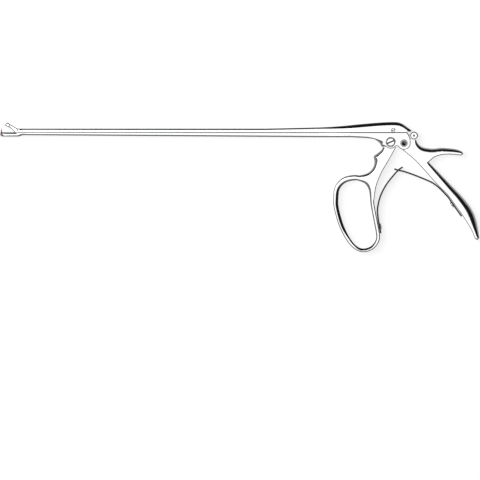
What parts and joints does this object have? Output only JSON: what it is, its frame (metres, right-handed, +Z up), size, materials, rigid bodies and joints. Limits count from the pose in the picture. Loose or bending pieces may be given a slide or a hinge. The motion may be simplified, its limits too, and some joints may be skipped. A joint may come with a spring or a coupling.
{
  "type": "biopsy punch",
  "caption": "Long slender surgical biopsy punch: sliding upper bar, biting jaw over a basket, finger ring handle and a fixed lever with a thumb spur.",
  "frame": {"origin": "axis of the pivot screw, at the surface that the instrument lies on", "axes": "+X from the jaws to the handles, +Y from the handles up to the shaft, +Z up through the instrument's thickness"},
  "size_m": [0.3044, 0.0827, 0.0083],
  "materials": {
    "satin_steel": "satin-polished stainless steel",
    "bright_steel": "polished stainless steel",
    "spring_steel": "ground spring steel"
  },
  "bodies": {
    "frame": {"lower_shaft": "satin_steel", "rear_handle": "satin_steel", "rear_handle_screw": "bright_steel", "pivot_screw": "bright_steel", "stop_screw": "bright_steel", "jaw_pin": "bright_steel", "rail_stud_front": "bright_steel", "rail_stud_rear": "bright_steel", "rear_spring": "spring_steel", "rear_spring_screw": "bright_steel"},
    "trigger": {"ring_handle": "satin_steel", "front_spring": "spring_steel", "front_spring_screw": "bright_steel"},
    "slide_bar": {"slider": "satin_steel", "trigger_pin": "bright_steel", "jaw_drive_pin": "bright_steel"},
    "jaw": {"upper_jaw": "bright_steel"}
  },
  "joints": [
    {"name": "trigger_pivot", "type": "hinge", "parent": "frame", "child": "trigger", "pos_m": [0, 0, 0.004], "axis": [0, 0, 1], "range_deg": [0, 9.82], "stiffness_Nm_per_rad": 0.6, "springref_deg": -20.05, "deforming": ["front_spring", "rear_spring"]},
    {"name": "slider_travel", "type": "slide", "parent": "frame", "child": "slide_bar", "axis": [-1, 0, 0], "range_m": [0, 0.00129]},
    {"name": "jaw_hinge", "type": "hinge", "parent": "frame", "child": "jaw", "pos_m": [-0.2367, 0.00485, 0.004], "axis": [0, 0, 1], "range_deg": [0, 25]}
  ],
  "couplings": [
    {"joint": "slider_travel", "follows": "trigger_pivot", "m_per_rad": 0.0075},
    {"joint": "jaw_hinge", "follows": "trigger_pivot", "ratio": 2.545}
  ]
}
